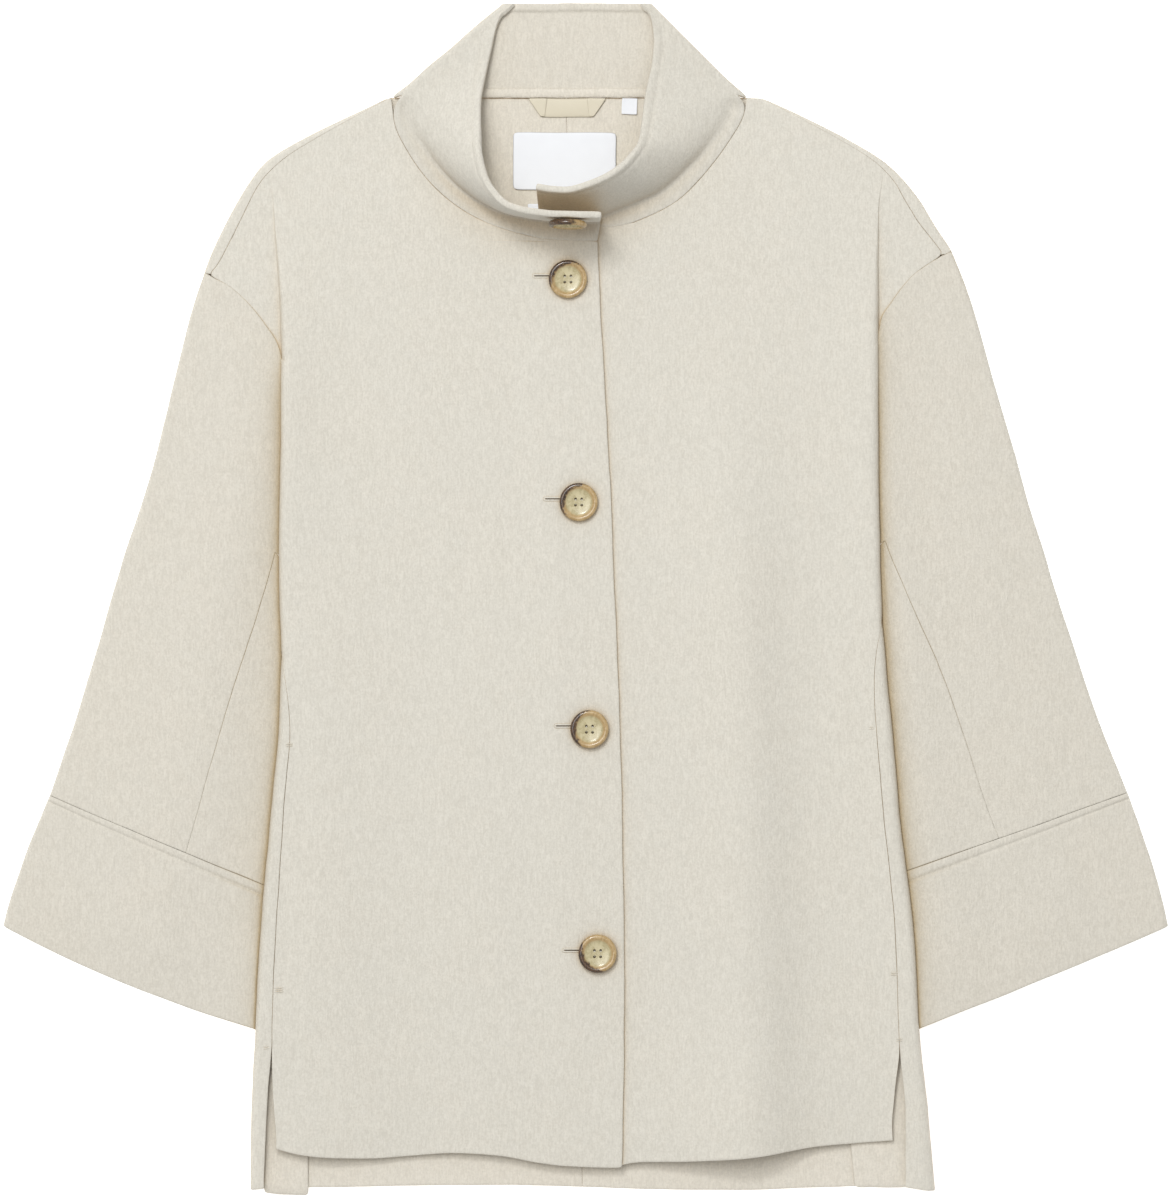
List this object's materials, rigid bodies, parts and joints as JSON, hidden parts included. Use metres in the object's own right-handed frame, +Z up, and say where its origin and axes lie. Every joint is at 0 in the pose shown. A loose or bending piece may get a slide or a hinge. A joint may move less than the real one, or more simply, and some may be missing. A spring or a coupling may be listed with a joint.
{
  "type": "reversible wool jacket laid flat",
  "caption": "Cream double-faced wool jacket with a stand collar, lapped buttoned front, cuff bands and side vents, laid on its back.",
  "frame": {"origin": "centre of the bounding box, on the surface that the jacket lies on", "axes": "+Z up from the surface, +Y from the hem to the collar, +X to the right as seen from above, towards the wearer's left"},
  "size_m": [0.8626, 0.883, 0.072],
  "materials": {
    "wool": "brushed double-faced wool, matt with a short nap",
    "horn": "polished mottled horn look",
    "label": "blank white woven tape",
    "satin": "cream satin tape"
  },
  "bodies": {
    "root": {"back_left": "wool", "back_right": "wool", "front_over": "wool", "front_under": "wool", "sleeve_top_left": "wool", "sleeve_top_right": "wool", "sleeve_under_left": "wool", "sleeve_under_right": "wool", "cuff_left": "wool", "cuff_right": "wool", "collar": "wool", "vent_facing_left": "wool", "vent_facing_right": "wool", "button_1": "horn", "button_2": "horn", "button_3": "horn", "button_4": "horn", "button_5": "horn", "neck_label": "label", "size_tab": "label", "care_tab": "label", "hanger_loop": "satin"}
  },
  "joints": []
}
